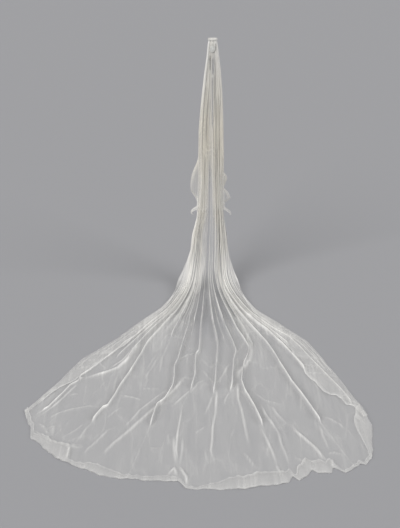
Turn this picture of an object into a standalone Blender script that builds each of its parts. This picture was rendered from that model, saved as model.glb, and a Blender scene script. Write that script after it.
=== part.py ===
# Bridal veil in two gathered layers of tulle. It hangs from the band at its top,
# and the long layer runs on over the floor as a train. Metres, +Z up.
# The origin is where the veil is held, in the middle of the band's top.
import math
from collections import namedtuple

import bmesh
import bpy
from mathutils import Matrix, Vector

# Driving dimensions
HANG = 1.600              # from the held top down to the floor
WALL = 0.001              # thickness that stands for the tulle
CLEAR = 0.0003            # left between pieces that touch
RING_TURN = math.radians(150)   # the layers wrap this far to each side of the front
TOP_DROPS = (0.003, 0.014, 0.060)   # both layers' first rows: edge, foot of the band, shoulder
FALL_END = 1.14           # drop at which the long layer starts to sweep forward
SWEEP_REACH = 0.60        # distance from the axis at which it lies flat
LAYER_STEP = 0.0025       # from the short layer's valleys to the long layer's crests

BAND = {"half_width": 0.0290, "half_depth": 0.0185, "height": 0.012, "wall": 0.002,
        "round": 0.0006, "sides": 40}
PATCH = {"across": -0.0055, "drop": 0.0625, "half_width": 0.016, "half_height": 0.020,
         "thick": 0.0024, "columns": 20, "rows": 10, "back_power": 3, "farthest_round": 0.98}

# Outline of the hanging veil over its crests, a row for each height.
# short_room is the space that the short layer takes outside the long one.
Ring = namedtuple("Ring", "drop half_width half_depth shift short_room pleat_depth")
RINGS = (
    Ring(0.000, 0.0262, 0.0157, -0.0030, 0.0045, 0.0027),
    Ring(0.014, 0.0262, 0.0157, -0.0030, 0.0045, 0.0027),
    Ring(0.040, 0.0320, 0.0205, -0.0030, 0.0050, 0.0035),
    Ring(0.100, 0.0390, 0.0270, -0.0020, 0.0065, 0.0060),
    Ring(0.200, 0.0525, 0.0370, -0.0025, 0.0080, 0.0100),
    Ring(0.300, 0.0625, 0.0450, -0.0045, 0.0090, 0.0140),
    Ring(0.410, 0.0715, 0.0530, -0.0075, 0.0100, 0.0180),
    Ring(0.570, 0.0805, 0.0620, -0.0115, 0.0110, 0.0220),
    Ring(0.750, 0.0845, 0.0680, -0.0105, 0.0120, 0.0240),
    Ring(0.920, 0.0850, 0.0720, -0.0120, 0.0120, 0.0250),
    Ring(1.030, 0.0910, 0.0770, -0.0120, 0.0120, 0.0250),
    Ring(1.160, 0.1030, 0.0850, -0.0130, 0.0120, 0.0260),
    Ring(1.260, 0.1195, 0.0950, -0.0165, 0.0000, 0.0260),
    Ring(1.370, 0.1365, 0.1050, -0.0185, 0.0000, 0.0250),
    Ring(1.490, 0.1620, 0.1150, -0.0240, 0.0000, 0.0220),
    Ring(1.600, 0.1950, 0.1250, -0.0260, 0.0000, 0.0180),
)

# Pleats of the long layer from the left edge to the right one. at_45 to at_195 are their
# bearings in degrees from straight ahead, where they cross circles of 0.45 to 1.95 m round
# the axis. rise is the ridge's height on the floor and reach is where it has died away.
BEARING_RADII = (0.45, 0.75, 1.05, 1.35, 1.65, 1.95)
Pleat = namedtuple("Pleat", "at_45 at_75 at_105 at_135 at_165 at_195 rise reach")
LEFT_EDGE = Pleat(-37.0, -34.8, -32.9, -33.2, -30.6, -29.5, 0.000, 0.00)
PLEATS = (
    Pleat(-35.2, -33.3, -31.9, -32.2, -29.9, -28.9, 0.009, 1.45),
    Pleat(-33.2, -31.6, -30.8, -30.9, -29.1, -28.2, 0.010, 1.30),
    Pleat(-31.4, -30.6, -30.0, -28.4, -27.3, -26.6, 0.011, 1.93),
    Pleat(-29.4, -28.4, -27.6, -26.2, -25.0, -24.4, 0.010, 1.25),
    Pleat(-27.4, -26.2, -24.7, -23.1, -22.6, -22.0, 0.020, 1.50),
    Pleat(-24.6, -22.0, -21.7, -20.0, -18.6, -18.5, 0.018, 1.93),
    Pleat(-21.8, -18.2, -16.0, -15.4, -14.6, -14.0, 0.018, 0.98),
    Pleat(-16.3, -11.9, -10.9, -9.3, -9.7, -9.9, 0.024, 1.90),
    Pleat(-12.6, -9.0, -7.8, -7.0, -6.9, -7.2, 0.014, 0.75),
    Pleat(-9.6, -6.0, -4.7, -4.8, -4.9, -5.1, 0.021, 1.55),
    Pleat(-1.0, 1.0, 1.1, 0.3, -0.6, -0.8, 0.021, 1.75),
    Pleat(5.2, 6.3, 7.0, 4.0, 2.4, 2.2, 0.021, 1.68),
    Pleat(10.5, 10.5, 10.3, 6.2, 6.1, 6.9, 0.026, 1.89),
    Pleat(14.2, 13.4, 12.6, 9.0, 9.2, 9.8, 0.018, 1.20),
    Pleat(17.3, 18.4, 18.0, 16.4, 15.8, 15.4, 0.023, 1.95),
    Pleat(20.2, 21.5, 22.5, 21.1, 19.8, 18.7, 0.020, 1.40),
    Pleat(22.2, 23.6, 24.3, 22.8, 21.7, 20.4, 0.012, 1.15),
    Pleat(23.7, 25.2, 26.3, 25.0, 23.3, 21.5, 0.014, 1.80),
    Pleat(25.2, 26.7, 27.6, 25.7, 23.8, 21.9, 0.010, 1.40),
    Pleat(26.7, 28.2, 28.7, 26.3, 24.3, 22.3, 0.009, 1.30),
    Pleat(28.2, 29.6, 29.8, 26.9, 24.7, 22.7, 0.008, 1.45),
)
RIGHT_EDGE = Pleat(29.6, 31.0, 30.9, 27.5, 25.1, 23.1, 0.000, 0.00)
RIDGE_HALF = 0.008        # half the width of a ridge where it stands on the floor
RIDGE_SHARE = 0.30        # and the most that it takes of the way to the next pleat
RIDGE_FADE = 0.12         # length over which a ridge dies away
RIDGE_LEFT = 0.12         # part of its height that is left beyond

# Distance of the hem from the axis, a row for each bearing in degrees
HemPoint = namedtuple("HemPoint", "bearing reach")
HEM = (
    HemPoint(-29.5, 1.960),
    HemPoint(-26.0, 2.070),
    HemPoint(-23.6, 2.180),
    HemPoint(-20.0, 2.245),
    HemPoint(-16.4, 2.300),
    HemPoint(-12.0, 2.338),
    HemPoint(-8.0, 2.342),
    HemPoint(-4.4, 2.323),
    HemPoint(-2.6, 2.388),
    HemPoint(3.0, 2.380),
    HemPoint(7.0, 2.356),
    HemPoint(8.4, 2.312),
    HemPoint(11.2, 2.290),
    HemPoint(14.4, 2.329),
    HemPoint(17.4, 2.290),
    HemPoint(19.6, 2.195),
    HemPoint(21.1, 2.090),
    HemPoint(22.6, 1.990),
    HemPoint(23.1, 1.910),
)

# The side edges turned in over the train: width of the turn along the floor
TurnIn = namedtuple("TurnIn", "radius left right")
TURNS_IN = (
    TurnIn(0.20, 0.012, 0.012),
    TurnIn(0.60, 0.030, 0.030),
    TurnIn(1.00, 0.090, 0.080),
    TurnIn(1.40, 0.110, 0.120),
    TurnIn(1.75, 0.080, 0.090),
    TurnIn(2.10, 0.050, 0.060),
)
TURN_LIFT = 0.017         # height of the turned-in edge over the train
TURN_HUNG = 0.12          # width of the edge beyond the last pleat in the fall, of the half width
TURN_START = 0.50         # share of the sweep at which the edge starts to turn over
TURN_STEPS = (0.15, 0.55, 1.00)

# Rows of the long layer in the fall, in the sweep from the fall to the floor, and in the train.
# The powers say how soon the sweep goes down, out and round, how soon the hanging pleats die
# away in it, and how late the ridges grow.
FALL_ROWS = 8
LONG_ROW_POWER = 1.1
SWEEP_ROWS = 12
TRAIN_ROWS = 11
SWEEP_DROP_POWER = 2.2
SWEEP_REACH_POWER = 4.0
SWEEP_TURN_POWER = 1.45
SWEEP_WAVE_POWER = 1.5
RIDGE_GROWTH = 3

# Short layer
SHORT = {"pleats": 16, "rows": 20, "row_power": 0.78, "hem": 1.075, "side_hem": 1.145,
         "hem_power": 3}
SHORT_WAVE = (0.0, 0.55, 1.0, 0.55)   # valley, flank, crest and flank of each of its pleats
# Loops of its side edges that swing out from the bundle: drop, half length and degrees
Loop = namedtuple("Loop", "side drop half_length turn")
LOOPS = (
    Loop(-1, 0.930, 0.200, 104.0),
    Loop(-1, 1.120, 0.090, 84.0),
    Loop(1, 0.925, 0.130, 66.0),
    Loop(1, 1.030, 0.110, 62.0),
    Loop(1, 1.140, 0.080, 66.0),
)
LOOP_FROM = 11 / 16       # share of the way round, on a crest, from which a loop swings out
ARC_STEPS = 48            # parts in which the arc of an oval is measured


def table_value(rows, key, at, column):
    """Value of a column at a place between the rows of a table."""
    if at <= getattr(rows[0], key):
        return getattr(rows[0], column)
    for low, high in zip(rows, rows[1:]):
        start = getattr(low, key)
        end = getattr(high, key)
        if at <= end:
            share = (at - start) / (end - start)
            return getattr(low, column) * (1 - share) + getattr(high, column) * share
    return getattr(rows[-1], column)


# Rings of the fall

def ring_at(drop):
    """The outline's sizes at a drop below the top."""
    return Ring(*[table_value(RINGS, "drop", drop, column) for column in Ring._fields])


def even_angle(half_width, half_depth, share):
    """Angle on an ellipse, from straight ahead, with an even share of its arc behind it."""
    step = RING_TURN / ARC_STEPS
    arc = [0.0]
    for i in range(ARC_STEPS):
        middle = (i + 0.5) * step
        side = math.hypot(half_width * math.cos(middle), half_depth * math.sin(middle))
        arc.append(arc[-1] + side * step)
    target = abs(share) * arc[-1]
    i = max(k for k in range(ARC_STEPS) if arc[k] <= target)
    angle = (i + (target - arc[i]) / (arc[i + 1] - arc[i])) * step
    return math.copysign(angle, share)


def ring_point(drop, share, inset, level):
    """Point at a share of the way round, -1 to 1, inset from the crests' outline."""
    ring = ring_at(drop)
    half_width = ring.half_width - inset
    half_depth = ring.half_depth - inset
    angle = even_angle(half_width, half_depth, share)
    return Vector((ring.shift + half_width * math.sin(angle), -half_depth * math.cos(angle), level))


def ring_radius(ring, angle):
    """Distance from a ring's middle to its pleats' roots, at an angle from straight ahead."""
    half_width = ring.half_width - ring.pleat_depth
    half_depth = ring.half_depth - ring.pleat_depth
    return 1 / math.hypot(math.sin(angle) / half_width, math.cos(angle) / half_depth)


def row_drop(row, rows, bottom, power):
    """Drop of a row of points: the top ones, then closer at first if power is over 1."""
    if row < len(TOP_DROPS):
        return TOP_DROPS[row]
    first = len(TOP_DROPS) - 1
    return TOP_DROPS[first] + (bottom - TOP_DROPS[first]) * ((row - first) / (rows - first)) ** power


# Long layer

# A column of the cloth: its share of the ring, the pleat that it belongs to, its side of that
# pleat's crest (2 is the valley on the left), its wave in the fall and on the floor, and how
# far it is across the edge that is turned in
Column = namedtuple("Column", "share pleat side fall_wave floor_wave turn")
FLANK_WAVE = 0.55
SIDE_PLEATS = 2           # pleats at each side edge that hang shallower than the rest
SIDE_WAVE = 0.55
VALLEY = 2
FOLDS = (LEFT_EDGE,) + PLEATS + (RIGHT_EDGE,)


def long_columns():
    """The columns across the long layer: valley, flank, crest and flank of each pleat."""
    count = len(PLEATS)
    columns = [Column(-1.0, 0, 0, 0.0, 0.0, -turn) for turn in reversed(TURN_STEPS)]
    columns.append(Column(-1.0, 0, 0, 0.0, 0.0, 0.0))
    for pleat in range(1, count + 1):
        middle = (2 * pleat - 1) / count - 1
        quarter = 0.5 / count
        crest = SIDE_WAVE if min(pleat, count + 1 - pleat) <= SIDE_PLEATS else 1.0
        if pleat > 1:
            columns.append(Column(middle - 2 * quarter, pleat, VALLEY, 0.0, 0.0, 0.0))
        columns.append(Column(middle - quarter, pleat, -1, crest * FLANK_WAVE, 0.0, 0.0))
        columns.append(Column(middle, pleat, 0, crest, 1.0, 0.0))
        columns.append(Column(middle + quarter, pleat, 1, crest * FLANK_WAVE, 0.0, 0.0))
    columns.append(Column(1.0, count + 1, 0, 0.0, 0.0, 0.0))
    columns += [Column(1.0, count + 1, 0, 0.0, 0.0, turn) for turn in TURN_STEPS]
    return columns


def fold_bearing(fold, radius):
    """Bearing in radians of a fold's crest at a distance from the axis."""
    values = FOLDS[fold][:len(BEARING_RADII)]
    if radius <= BEARING_RADII[0]:
        return math.radians(values[0])
    for i in range(len(values) - 1):
        start = BEARING_RADII[i]
        end = BEARING_RADII[i + 1]
        if radius <= end:
            share = (radius - start) / (end - start)
            return math.radians(values[i] * (1 - share) + values[i + 1] * share)
    return math.radians(values[-1])


def column_bearing(column, radius):
    """Bearing in radians of a column at a distance from the axis."""
    crest = fold_bearing(column.pleat, radius)
    if column.side == 0:
        return crest
    if column.side == VALLEY:
        return (crest + fold_bearing(column.pleat - 1, radius)) / 2
    room = abs(fold_bearing(column.pleat + column.side, radius) - crest)
    return crest + column.side * min(RIDGE_HALF / radius, room * RIDGE_SHARE)


def hem_reach(column):
    """Distance of the hem from the axis where a column meets it."""
    last = BEARING_RADII[-1]
    bearing = math.degrees(column_bearing(column, last))
    return table_value(HEM, "bearing", bearing, "reach")


def ridge_height(column, radius):
    """Height of a pleat's ridge over the train, which dies away at its reach."""
    pleat = FOLDS[column.pleat]
    fade = min(max((pleat.reach - radius) / RIDGE_FADE, 0.0), 1.0)
    smooth = fade * fade * (3 - 2 * fade)
    return pleat.rise * (RIDGE_LEFT + (1 - RIDGE_LEFT) * smooth)


def long_base(column, row):
    """Point of the cloth without its pleats, and the pleats' height there."""
    if row < FALL_ROWS:
        drop = row_drop(row, FALL_ROWS, FALL_END, LONG_ROW_POWER)
        ring = ring_at(drop)
        inset = ring.short_room + ring.pleat_depth
        return ring_point(drop, column.share, inset, -drop), ring.pleat_depth * column.fall_wave
    floor = WALL / 2 - HANG
    if row <= FALL_ROWS + SWEEP_ROWS:
        t = (row - FALL_ROWS) / SWEEP_ROWS
        level = floor + (-FALL_END - floor) * (1 - t) ** SWEEP_DROP_POWER
        ring = ring_at(-level)
        start = ring_point(-level, column.share, ring.short_room + ring.pleat_depth, level)
        bearing = column_bearing(column, SWEEP_REACH)
        turned = 1 - (1 - t) ** SWEEP_TURN_POWER
        grown = t ** SWEEP_REACH_POWER
        hung = math.atan2(start.x - ring.shift, -start.y)
        angle = hung * (1 - turned) + bearing * turned
        kept = ring_radius(ring, angle) / ring_radius(ring, hung)
        held = math.hypot(start.x - ring.shift, start.y) * kept
        middle = ring.shift * (1 - grown)
        radius = held * (1 - grown) + SWEEP_REACH * grown
        fall = ring.pleat_depth * column.fall_wave
        laid = ridge_height(column, SWEEP_REACH) * column.floor_wave
        point = Vector((middle + radius * math.sin(angle), -radius * math.cos(angle), level))
        return point, fall * (1 - turned) ** SWEEP_WAVE_POWER + laid * turned ** RIDGE_GROWTH
    t = (row - FALL_ROWS - SWEEP_ROWS) / TRAIN_ROWS
    radius = SWEEP_REACH + (hem_reach(column) - SWEEP_REACH) * t
    bearing = column_bearing(column, radius)
    point = Vector((radius * math.sin(bearing), -radius * math.cos(bearing), floor))
    return point, ridge_height(column, radius) * column.floor_wave


def long_point(columns, index, row):
    """Point in the middle of the long layer's wall."""
    column = columns[index]
    first = len(TURN_STEPS)
    last = len(columns) - 1 - first
    held = min(max(index, first), last)
    rows = FALL_ROWS + SWEEP_ROWS + TRAIN_ROWS
    point, wave = long_base(columns[held], row)
    before = long_base(columns[max(held - 1, first)], row)[0]
    after = long_base(columns[min(held + 1, last)], row)[0]
    above = long_base(columns[held], max(row - 1, 0))[0]
    below = long_base(columns[held], min(row + 1, rows))[0]
    across = (after - before).normalized()
    out = across.cross(below - above).normalized() * -1
    if held == index:
        return point + out * wave
    swept = ((row - FALL_ROWS) / SWEEP_ROWS - TURN_START) / (1 - TURN_START)
    swept = min(max(swept, 0.0), 1.0)
    turn = math.pi * swept * swept * (3 - 2 * swept)
    hung = ring_at(-point.z).half_width * TURN_HUNG
    laid = table_value(TURNS_IN, "radius", math.hypot(point.x, point.y),
                       "left" if column.turn < 0 else "right")
    width = hung * (1 - swept) + laid * swept
    outward = across * math.copysign(1, column.turn)
    along = outward * math.cos(turn) + out * math.sin(turn)
    return point + along * width * abs(column.turn) + out * TURN_LIFT * math.sqrt(swept)


# Short layer

def short_point(share, row, wave):
    """Point in the middle of the short layer's wall."""
    bottom = SHORT["hem"] + (SHORT["side_hem"] - SHORT["hem"]) * abs(share) ** SHORT["hem_power"]
    drop = row_drop(row, SHORT["rows"] - 1, bottom, SHORT["row_power"])
    depth = ring_at(drop).short_room - LAYER_STEP
    point = ring_point(drop, share, depth * (1 - wave), -drop)
    if abs(share) <= LOOP_FROM:
        return point
    side = math.copysign(1, share)
    turn = 0.0
    for loop in LOOPS:
        if loop.side == side:
            away = min(abs(drop - loop.drop) / loop.half_length, 1.0)
            turn = max(turn, math.radians(loop.turn) * math.cos(away * math.pi / 2) ** 2)
    root = ring_point(drop, LOOP_FROM * side, 0.0, -drop)
    return root + Matrix.Rotation(-side * turn, 3, "Z") @ (point - root)


def short_columns():
    """Share of the ring and height of the wave for each column of the short layer."""
    count = SHORT["pleats"] * len(SHORT_WAVE)
    return [(2 * i / count - 1, SHORT_WAVE[i % len(SHORT_WAVE)]) for i in range(count + 1)]


# Meshes

def named_material(name, colour, roughness):
    """A plain Principled material."""
    material = bpy.data.materials.new(name)
    material.use_nodes = True
    shader = material.node_tree.nodes["Principled BSDF"]
    shader.inputs["Base Color"].default_value = (*colour, 1.0)
    shader.inputs["Roughness"].default_value = roughness
    shader.inputs["Metallic"].default_value = 0.0
    return material


def add_object(name, shape, material):
    """Object of a bmesh, shaded smooth, in the scene."""
    bmesh.ops.recalc_face_normals(shape, faces=shape.faces)
    mesh = bpy.data.meshes.new(name)
    shape.to_mesh(mesh)
    shape.free()
    mesh.materials.append(material)
    mesh.shade_smooth()
    thing = bpy.data.objects.new(name, mesh)
    bpy.context.scene.collection.objects.link(thing)
    return thing


def add_cloth(name, across, down, place, material):
    """A sheet of across by down points, placed by a function and given its wall."""
    shape = bmesh.new()
    points = [[shape.verts.new(place(i, j)) for i in range(across)] for j in range(down)]
    for upper, lower in zip(points, points[1:]):
        for i in range(across - 1):
            shape.faces.new((upper[i], lower[i], lower[i + 1], upper[i + 1]))
    thing = add_object(name, shape, material)
    wall = thing.modifiers.new("wall", "SOLIDIFY")
    wall.thickness = WALL
    wall.offset = 0.0
    return thing


def add_long_layer(material):
    columns = long_columns()
    rows = FALL_ROWS + SWEEP_ROWS + TRAIN_ROWS + 1
    return add_cloth(
        "long_layer", len(columns), rows,
        lambda i, j: long_point(columns, i, j), material,
    )


def add_short_layer(material):
    columns = short_columns()
    return add_cloth(
        "short_layer", len(columns), SHORT["rows"],
        lambda i, j: short_point(columns[i][0], j, columns[i][1]), material,
    )


def add_gather_band(material):
    """The oval ring of binding round both gathered tops, its edges rounded."""
    shape = bmesh.new()
    sides = BAND["sides"]
    shift = RINGS[0].shift
    walls = []
    for inset in (0.0, BAND["wall"]):
        half_width = BAND["half_width"] - inset
        half_depth = BAND["half_depth"] - inset
        for level in (0.0, -BAND["height"]):
            loop = []
            for i in range(sides):
                angle = 2 * math.pi * i / sides
                place = (shift + half_width * math.cos(angle), half_depth * math.sin(angle), level)
                loop.append(shape.verts.new(place))
            walls.append(loop)
    outer_top, outer_low, inner_top, inner_low = walls
    for upper, lower in ((outer_top, outer_low), (outer_low, inner_low),
                         (inner_low, inner_top), (inner_top, outer_top)):
        for i in range(sides):
            k = (i + 1) % sides
            shape.faces.new((upper[i], lower[i], lower[k], upper[k]))
    thing = add_object("gather_band", shape, material)
    rounding = thing.modifiers.new("rounding", "BEVEL")
    rounding.width = BAND["round"]
    rounding.segments = 1
    return thing


def add_tacked_patch(material):
    """The roundish pad tacked on the front: its back follows the short layer's crests."""
    shape = bmesh.new()
    bmesh.ops.create_uvsphere(
        shape, u_segments=PATCH["columns"], v_segments=PATCH["rows"], radius=1.0
    )
    for vert in shape.verts:
        across = vert.co.x * PATCH["half_width"] + PATCH["across"]
        level = vert.co.z * PATCH["half_height"] - PATCH["drop"]
        ring = ring_at(-level)
        turned = min(abs(across - ring.shift) / ring.half_width, PATCH["farthest_round"])
        front = -ring.half_depth * math.sqrt(1 - turned * turned)
        behind = 1 - vert.co.y
        if behind < 1:
            behind = behind ** PATCH["back_power"]
        lift = WALL / 2 + CLEAR + PATCH["thick"] * behind / 2
        vert.co = (across, front - lift, level)
    return add_object("tacked_patch", shape, material)


def main():
    for thing in list(bpy.data.objects):
        bpy.data.objects.remove(thing)
    tulle = named_material("tulle", (0.86, 0.85, 0.82), 0.6)
    binding = named_material("binding", (0.78, 0.77, 0.74), 0.5)
    thread = named_material("tacking", (0.62, 0.62, 0.60), 0.7)
    add_long_layer(tulle)
    add_short_layer(tulle)
    add_gather_band(binding)
    add_tacked_patch(thread)


main()
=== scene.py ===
# Bridal veil in two gathered layers of tulle, hung from its crown band, its train on the floor
import math

import bmesh
import bpy
import numpy as np
from mathutils import Matrix, Vector


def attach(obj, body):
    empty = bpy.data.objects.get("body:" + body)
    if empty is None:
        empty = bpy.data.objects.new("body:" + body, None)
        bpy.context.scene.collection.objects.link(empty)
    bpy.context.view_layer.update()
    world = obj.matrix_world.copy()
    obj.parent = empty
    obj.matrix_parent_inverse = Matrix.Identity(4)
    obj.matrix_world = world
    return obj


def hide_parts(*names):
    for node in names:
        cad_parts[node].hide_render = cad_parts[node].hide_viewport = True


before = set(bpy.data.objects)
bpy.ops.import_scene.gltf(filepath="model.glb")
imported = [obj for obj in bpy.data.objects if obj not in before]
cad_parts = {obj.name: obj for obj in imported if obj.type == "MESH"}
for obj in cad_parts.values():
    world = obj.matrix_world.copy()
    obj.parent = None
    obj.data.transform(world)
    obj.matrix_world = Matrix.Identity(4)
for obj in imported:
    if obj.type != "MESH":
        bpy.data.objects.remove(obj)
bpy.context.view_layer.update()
rng = np.random.default_rng(7)
floorLevel = -1.6
clothLevel = floorLevel + 0.0005   # the train lies just over the floor
firstDrop = 0.003                  # the cloth starts inside the band


# Shader helpers

class Value:   # a socket that takes part in expressions
    def __init__(self, maker, socket):
        self.maker = maker
        self.socket = socket

    def math(self, operation, *others):
        return self.maker.node("ShaderNodeMath", {"operation": operation}, [self, *others])

    def __add__(self, other): return self.math("ADD", other)
    def __radd__(self, other): return self.math("ADD", other)
    def __sub__(self, other): return self.math("SUBTRACT", other)
    def __rsub__(self, other): return self.maker.node("ShaderNodeMath", {"operation": "SUBTRACT"}, [other, self])
    def __mul__(self, other): return self.math("MULTIPLY", other)
    def __rmul__(self, other): return self.math("MULTIPLY", other)
    def power(self, other): return self.math("POWER", other)
    def least(self, other): return self.math("MINIMUM", other)
    def most(self, other): return self.math("MAXIMUM", other)


class Finish:   # one material and its nodes
    def __init__(self, name, colour, roughness, **constants):
        self.material = bpy.data.materials.new(name)
        self.material.use_nodes = True
        self.tree = self.material.node_tree
        self.shader = self.tree.nodes["Principled BSDF"]
        self.shader.inputs["Base Color"].default_value = (*colour, 1.0)
        self.shader.inputs["Roughness"].default_value = roughness
        for socket, value in constants.items():
            self.shader.inputs[socket.replace("_", " ")].default_value = value

    def node(self, kind, settings, values, output=0):
        made = self.tree.nodes.new(kind)
        for key, value in settings.items():
            setattr(made, key, value)
        pairs = values.items() if isinstance(values, dict) else enumerate(values)
        for key, value in pairs:
            if isinstance(value, Value):
                self.tree.links.new(value.socket, made.inputs[key])
            else:
                made.inputs[key].default_value = value
        return Value(self, made.outputs[output])

    def set(self, socket, value):
        self.tree.links.new(value.socket, self.shader.inputs[socket])

    def attribute(self, name):
        return self.node("ShaderNodeAttribute", {"attribute_name": name}, [], "Fac")

    def place(self, scale, kind="Object"):
        spot = self.node("ShaderNodeTexCoord", {}, [], kind)
        return self.node("ShaderNodeMapping", {}, {"Vector": spot, "Scale": scale})

    def noise(self, spot, scale, detail=2.0, roughness=0.5):
        values = {"Vector": spot, "Scale": scale, "Detail": detail, "Roughness": roughness}
        return self.node("ShaderNodeTexNoise", {}, values, "Fac")

    def mix(self, share, first, second):
        colours = [colour if isinstance(colour, Value) else (*colour, 1.0) for colour in (first, second)]
        return self.node("ShaderNodeMix", {"data_type": "RGBA"}, {0: share, 6: colours[0], 7: colours[1]}, 2)

    def bump(self, height, strength, distance):
        values = {"Height": height, "Strength": strength, "Distance": distance}
        self.set("Normal", self.node("ShaderNodeBump", {}, values, "Normal"))


# Tulle: how much it covers is worked out from how tightly it is gathered, and kept in an attribute

tulle = {
    "colour": (0.90, 0.89, 0.86),
    "warm": (0.94, 0.90, 0.81),
    "shaded": (0.36, 0.36, 0.35),   # painted shade, deep between the pleats of the fall
    "roughness": 0.55, "sheen": 0.35,
    "oneLayer": 0.24,               # share of the view that a single flat layer covers
    "leastCover": 0.02, "mostCover": 0.985,
    # each pattern: its scale, and how much it changes the cover
    "grain": (130.0, 0.44), "lines": (44.0, 0.80), "clouds": (9.0, 0.25), "net": (420.0, 0.10), "wrinkles": (5.0, 0.30),
    "stretch": 0.06,                # of the grain and the lines, along the cloth
    "wrinkleStretch": 0.35, "wrinkleEdge": 14.0, "netEdge": 6.0,
    "bump": (0.25, 0.002),
}


def tulleFinish():
    look = tulle
    finish = Finish("tulle", look["colour"], look["roughness"], Sheen_Weight=look["sheen"], Sheen_Roughness=look["sheen"])
    cloth = finish.place((1.0, 1.0, 1.0), "UV")
    lengthwise = finish.place((1.0, look["stretch"], 1.0), "UV")
    grain = finish.noise(lengthwise, look["grain"][0], 3.0, 0.6)
    lines = finish.noise(lengthwise, look["lines"][0])
    cloudy = finish.noise(cloth, look["clouds"][0], 3.0)
    # the net is drawn as small cells, brightest at their edges
    cells = {"Vector": cloth, "Scale": look["net"][0]}
    threads = finish.node("ShaderNodeTexVoronoi", {"feature": "DISTANCE_TO_EDGE"}, cells, "Distance")
    net = 1.0 - (threads * look["netEdge"]).least(1.0)
    wrinkles = finish.noise(finish.place((1.0, look["wrinkleStretch"], 1.0), "UV"), look["wrinkles"][0], 2.0, 0.45)
    wrinkles = (1.0 - (wrinkles - 0.5).math("ABSOLUTE") * look["wrinkleEdge"]).most(0.0).power(3.0)
    share = 1.0 + (grain - 0.5) * look["grain"][1] + (lines - 0.5) * look["lines"][1]
    share = share + (cloudy - 0.5) * look["clouds"][1] + (net - 0.5) * look["net"][1] + wrinkles * look["wrinkles"][1]
    share = finish.attribute("cover") * share
    finish.set("Alpha", share.most(look["leastCover"]).least(look["mostCover"]))
    warmth = (finish.attribute("warmth") * (0.6 + cloudy * 0.8)).least(1.0)
    lit = finish.mix(warmth, look["colour"], look["warm"])
    # painted shade: the base colour darkens towards the shaded colour in the deep lines between strands and in the gaps
    # near the top
    finish.set("Base Color", finish.mix(finish.attribute("shade"), lit, look["shaded"]))
    finish.bump(grain + cloudy * 0.6 + net * 0.15, *look["bump"])
    finish.material.use_backface_culling = False
    return finish.material


def coverOf(gathered):
    return 1.0 - (1.0 - tulle["oneLayer"]) ** np.clip(gathered, 0.3, 9.0)


# Meshes

def linked(name, data):
    thing = bpy.data.objects.new(name, data)
    bpy.context.scene.collection.objects.link(thing)
    return thing


def newObject(name, shape, material):
    mesh = bpy.data.meshes.new(name)
    shape.to_mesh(mesh)
    shape.free()
    mesh.materials.append(material)
    mesh.shade_smooth()
    return linked(name, mesh)


def sheetObject(name, places, marks, cloth, material):
    # a grid moved into place: places is rows by columns by 3, and marks go to the material
    rows, columns = places.shape[:2]
    shape = bmesh.new()
    bmesh.ops.create_grid(shape, x_segments=columns - 1, y_segments=rows - 1, size=0.5)
    thing = newObject(name, shape, material)
    mesh = thing.data
    flat = np.empty(len(mesh.vertices) * 3, np.float32)
    mesh.vertices.foreach_get("co", flat)
    flat = flat.reshape(-1, 3)
    column = np.rint((flat[:, 0] + 0.5) * (columns - 1)).astype(int)
    row = rows - 1 - np.rint((flat[:, 1] + 0.5) * (rows - 1)).astype(int)
    mesh.vertices.foreach_set("co", places[row, column].astype(np.float32).ravel())
    for key, values in marks.items():
        mesh.attributes.new(key, "FLOAT", "POINT").data.foreach_set("value", values[row, column].astype(np.float32))
    corners = np.empty(len(mesh.loops), np.int32)
    mesh.loops.foreach_get("vertex_index", corners)
    layer = mesh.uv_layers.new(name="cloth")
    layer.data.foreach_set("uv", cloth[row, column][corners].astype(np.float32).ravel())
    mesh.update()
    area = sum(face.area for face in mesh.polygons)
    print(name + ":", len(mesh.polygons) * 2, "triangles,", round(area, 2), "square metres")
    return thing


# Outline of the hanging veil, one entry for each drop below the top

outline = {
    "drop": [0.0, 0.014, 0.04, 0.1, 0.2, 0.3, 0.41, 0.57, 0.75, 0.92, 1.03, 1.16, 1.26, 1.37, 1.49, 1.6],
    "halfWidth": [0.0262, 0.0262, 0.032, 0.039, 0.0525, 0.0625, 0.0715, 0.0805, 0.0845, 0.085, 0.091, 0.103, 0.1195, 0.1365,
         0.162, 0.195],
    "halfDepth": [0.0157, 0.0157, 0.0205, 0.027, 0.037, 0.045, 0.053, 0.062, 0.068, 0.072, 0.077, 0.085, 0.095, 0.105, 0.115,
         0.125],
    "shift": [-0.003, -0.003, -0.003, -0.002, -0.0025, -0.0045, -0.0075, -0.0115, -0.0105, -0.012, -0.012, -0.013,
         -0.0165, -0.0185, -0.024, -0.026],
    "shortRoom": [0.0045, 0.0045, 0.005, 0.0065, 0.008, 0.009, 0.01, 0.011, 0.012, 0.012, 0.012, 0.012, 0.0, 0.0, 0.0, 0.0],
    "pleatDepth": [0.0027, 0.0027, 0.0035, 0.006, 0.01, 0.014, 0.018, 0.022, 0.024, 0.025, 0.025, 0.026, 0.026, 0.025, 0.022,
         0.018],
}
ringTurn = math.radians(150)   # each layer reaches this far round to both sides
arcSteps = 96
arcMiddles = (np.arange(arcSteps) + 0.5) * ringTurn / arcSteps


def ringAt(drop):
    return {key: float(np.interp(drop, outline["drop"], outline[key])) for key in outline}


def around(middle, wide, deep, angle, level):
    # places at angles from straight ahead, all at one level
    return np.stack([middle + wide * np.sin(angle), -deep * np.cos(angle), np.full(len(angle), level)], axis=1)


def ringPoints(drop, share, inset, level):
    # points at even shares of the way round, -1 to 1, inset from the outline
    ring = ringAt(drop)
    wide, deep = ring["halfWidth"] - inset, ring["halfDepth"] - inset
    arc = np.concatenate([[0.0], np.cumsum(np.hypot(wide * np.cos(arcMiddles), deep * np.sin(arcMiddles)))])
    angle = np.interp(np.abs(share) * arc[-1], arc, np.linspace(0.0, ringTurn, arcSteps + 1)) * np.sign(share)
    return around(ring["shift"], wide, deep, angle, level)


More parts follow.
